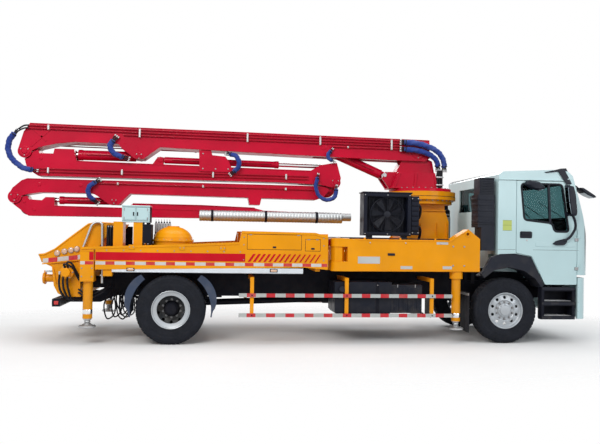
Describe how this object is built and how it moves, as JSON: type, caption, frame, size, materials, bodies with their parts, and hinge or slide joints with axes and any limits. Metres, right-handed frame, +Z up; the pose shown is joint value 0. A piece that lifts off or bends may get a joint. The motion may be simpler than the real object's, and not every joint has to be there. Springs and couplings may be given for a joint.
{
  "type": "concrete pump truck",
  "caption": "Truck mounted concrete pump with a folding boom, crimson boom sections, yellow pump deck and white cab, parked with the boom stowed.",
  "frame": {"origin": "on the ground, in the middle of the length and width", "axes": "+X forward, +Y to the left of the vehicle, +Z up"},
  "size_m": [10.13, 2.84, 3.59],
  "materials": {
    "chassis": "satin dark grey",
    "boom_red": "gloss crimson",
    "deck_yellow": "gloss amber yellow",
    "cab_white": "gloss bluish white",
    "guard_red": "red and white bands",
    "guard_grey": "matt grey blue",
    "black_plastic": "matt black",
    "glass": "clear, slightly green",
    "interior": "matt dark grey",
    "tyre": "matt black rubber, rims silver grey",
    "steel": "bare machined steel",
    "chrome": "polished piston rod",
    "cooler": "satin dark navy",
    "hose": "blue woven sleeve"
  },
  "bodies": {
    "truck": {"frame_rails": "chassis", "front_axle": "chassis", "rear_axle": "chassis", "engine_block": "chassis", "front_bumper": "cab_white", "mudguards": "guard_grey", "tanks": "chassis", "guard_rails": "guard_red", "deck": "deck_yellow", "beam_housing": "deck_yellow", "hopper": "deck_yellow", "hopper_grate": "chassis", "agitator": "chassis", "pump_unit": "steel", "outlet_pipe": "boom_red", "deck_line": "boom_red", "controls": "cab_white", "filter_housing": "deck_yellow", "oil_cooler": "cooler", "pedestal": "deck_yellow", "intake_tower": "black_plastic"},
    "cab": {"cab_shell": "cab_white", "cab_glass": "glass", "cab_interior": "interior", "cab_trim": "black_plastic"},
    "right_door": {"door_right": "cab_white", "door_glass_right": "glass"},
    "left_door": {"door_left": "cab_white", "door_glass_left": "glass"},
    "right_knuckle": {"knuckle_right": "chassis"},
    "left_knuckle": {"knuckle_left": "chassis"},
    "front_right_wheel": {"wheel_front_right": "tyre"},
    "front_left_wheel": {"wheel_front_left": "tyre"},
    "rear_right_wheels": {"wheel_rear_right": "tyre"},
    "rear_left_wheels": {"wheel_rear_left": "tyre"},
    "right_swing_arm": {"swing_arm_right": "deck_yellow"},
    "left_swing_arm": {"swing_arm_left": "deck_yellow"},
    "front_right_leg": {"front_leg_right": "deck_yellow"},
    "front_left_leg": {"front_leg_left": "deck_yellow"},
    "right_rear_beam": {"rear_beam_right": "deck_yellow"},
    "left_rear_beam": {"rear_beam_left": "deck_yellow"},
    "rear_right_leg": {"rear_leg_right": "deck_yellow"},
    "rear_left_leg": {"rear_leg_left": "deck_yellow"},
    "turret": {"turret": "boom_red", "root_hoses": "hose"},
    "lift_barrel": {"lift_barrel": "boom_red"},
    "lift_rod": {"lift_rod": "chrome"},
    "arm_1": {"arm_1": "boom_red", "hose_loop_a": "hose"},
    "arm_2": {"arm_2": "boom_red", "hose_loop_c": "hose"},
    "arm_3": {"arm_3": "boom_red"},
    "arm_4": {"arm_4": "boom_red"},
    "a_barrel": {"a_barrel": "boom_red"},
    "a_rod": {"a_rod": "chrome"},
    "c_barrel": {"c_barrel": "boom_red"},
    "c_rod": {"c_rod": "chrome"},
    "b_barrel": {"b_barrel": "boom_red"},
    "b_rod": {"b_rod": "chrome"}
  },
  "joints": [
    {"name": "cab_tilt", "type": "hinge", "parent": "truck", "child": "cab", "pos_m": [4.75, 0, 1.06], "axis": [0, 1, 0], "range_deg": [0, 50]},
    {"name": "right_door_hinge", "type": "hinge", "parent": "cab", "child": "right_door", "pos_m": [4.643, -1.233, 1.5], "axis": [0, 0, 1], "range_deg": [0, 70]},
    {"name": "left_door_hinge", "type": "hinge", "parent": "cab", "child": "left_door", "pos_m": [4.643, 1.233, 1.5], "axis": [0, 0, -1], "range_deg": [0, 70]},
    {"name": "left_steering", "type": "hinge", "parent": "truck", "child": "left_knuckle", "pos_m": [3.4, 0.75, 0.55], "axis": [0, 0, 1], "range_deg": [-35, 35]},
    {"name": "right_steering", "type": "hinge", "parent": "truck", "child": "right_knuckle", "pos_m": [3.4, -0.75, 0.55], "axis": [0, 0, 1], "range_deg": [-35, 35]},
    {"name": "front_right_spin", "type": "hinge", "parent": "right_knuckle", "child": "front_right_wheel", "pos_m": [3.4, -1.0275, 0.55], "axis": [0, 1, 0], "continuous": true},
    {"name": "front_left_spin", "type": "hinge", "parent": "left_knuckle", "child": "front_left_wheel", "pos_m": [3.4, 1.0275, 0.55], "axis": [0, 1, 0], "continuous": true},
    {"name": "rear_right_spin", "type": "hinge", "parent": "truck", "child": "rear_right_wheels", "pos_m": [-2.165, -0.9, 0.55], "axis": [0, 1, 0], "continuous": true},
    {"name": "rear_left_spin", "type": "hinge", "parent": "truck", "child": "rear_left_wheels", "pos_m": [-2.165, 0.9, 0.55], "axis": [0, 1, 0], "continuous": true},
    {"name": "right_outrigger_swing", "type": "hinge", "parent": "truck", "child": "right_swing_arm", "pos_m": [0.515, -1.085, 1.45], "axis": [0, 0, -1], "range_deg": [0, 90]},
    {"name": "front_right_jack", "type": "slide", "parent": "right_swing_arm", "child": "front_right_leg", "axis": [0, 0, -1], "range_m": [0, 0.45]},
    {"name": "right_beam_slide", "type": "slide", "parent": "truck", "child": "right_rear_beam", "axis": [0, -1, 0], "range_m": [0, 0.6]},
    {"name": "rear_right_jack", "type": "slide", "parent": "right_rear_beam", "child": "rear_right_leg", "axis": [0, 0, -1], "range_m": [0, 0.45]},
    {"name": "left_outrigger_swing", "type": "hinge", "parent": "truck", "child": "left_swing_arm", "pos_m": [0.515, 1.085, 1.45], "axis": [0, 0, 1], "range_deg": [0, 90]},
    {"name": "front_left_jack", "type": "slide", "parent": "left_swing_arm", "child": "front_left_leg", "axis": [0, 0, -1], "range_m": [0, 0.45]},
    {"name": "left_beam_slide", "type": "slide", "parent": "truck", "child": "left_rear_beam", "axis": [0, 1, 0], "range_m": [0, 0.6]},
    {"name": "rear_left_jack", "type": "slide", "parent": "left_rear_beam", "child": "rear_left_leg", "axis": [0, 0, -1], "range_m": [0, 0.45]},
    {"name": "boom_lift", "type": "hinge", "parent": "turret", "child": "arm_1", "pos_m": [2.135, 0, 3.3], "axis": [0, 1, 0], "range_deg": [0, 88]},
    {"name": "slew", "type": "hinge", "parent": "truck", "child": "turret", "pos_m": [2.235, 0, 2.6], "axis": [0, 0, -1], "range_deg": [-180, 180]},
    {"name": "lift_barrel_hinge", "type": "hinge", "parent": "turret", "child": "lift_barrel", "pos_m": [1.535, 0, 2.88], "axis": [0, 1, 0], "range_deg": [0, 84]},
    {"name": "lift_rod_slide", "type": "slide", "parent": "lift_barrel", "child": "lift_rod", "axis": [-0.9239, 0, 0.3825], "range_m": [0, 1.026]},
    {"name": "elbow_a", "type": "hinge", "parent": "arm_1", "child": "arm_2", "pos_m": [-4.705, 0, 3.11], "axis": [0, 1, 0], "range_deg": [0, 178]},
    {"name": "a_barrel_hinge", "type": "hinge", "parent": "arm_1", "child": "a_barrel", "pos_m": [-2.815, 0, 3.09], "axis": [0, -1, 0], "range_deg": [0, 20]},
    {"name": "a_rod_slide", "type": "slide", "parent": "a_barrel", "child": "a_rod", "axis": [-1, 0, 0], "range_m": [0, 0.6]},
    {"name": "elbow_c", "type": "hinge", "parent": "arm_2", "child": "arm_3", "pos_m": [0.625, 0, 2.72], "axis": [0, -1, 0], "range_deg": [0, 180]},
    {"name": "c_barrel_hinge", "type": "hinge", "parent": "arm_2", "child": "c_barrel", "pos_m": [-2.465, 0, 3.046], "axis": [0, 1, 0], "range_deg": [0, 6]},
    {"name": "c_rod_slide", "type": "slide", "parent": "c_barrel", "child": "c_rod", "axis": [-0.9999, 0, 0.0117], "range_m": [0, 0.7]},
    {"name": "elbow_b", "type": "hinge", "parent": "arm_3", "child": "arm_4", "pos_m": [-4.863, 0, 2.34], "axis": [0, 1, 0], "range_deg": [0, 200]},
    {"name": "b_barrel_hinge", "type": "hinge", "parent": "arm_3", "child": "b_barrel", "pos_m": [-3.225, 0, 2.3], "axis": [0, -1, 0], "range_deg": [0, 20]},
    {"name": "b_rod_slide", "type": "slide", "parent": "b_barrel", "child": "b_rod", "axis": [-1, 0, 0], "range_m": [0, 0.5]}
  ],
  "couplings": [
    {"joint": "right_steering", "follows": "left_steering", "ratio": 1},
    {"joint": "slew", "follows": "boom_lift", "ratio": 1.02},
    {"joint": "lift_barrel_hinge", "follows": "boom_lift", "ratio": 0.94104},
    {"joint": "lift_rod_slide", "follows": "boom_lift", "m_per_rad": 0.65521},
    {"joint": "elbow_a", "follows": "boom_lift", "ratio": 0.2},
    {"joint": "a_barrel_hinge", "follows": "boom_lift", "ratio": 0.090304},
    {"joint": "a_rod_slide", "follows": "boom_lift", "m_per_rad": 0.030827},
    {"joint": "elbow_c", "follows": "boom_lift", "ratio": 0.35},
    {"joint": "c_barrel_hinge", "follows": "boom_lift", "ratio": 0.009433},
    {"joint": "c_rod_slide", "follows": "boom_lift", "m_per_rad": 0.096164},
    {"joint": "elbow_b", "follows": "boom_lift", "ratio": 0.13},
    {"joint": "b_barrel_hinge", "follows": "boom_lift", "ratio": 0.066634},
    {"joint": "b_rod_slide", "follows": "boom_lift", "m_per_rad": 0.016243}
  ]
}
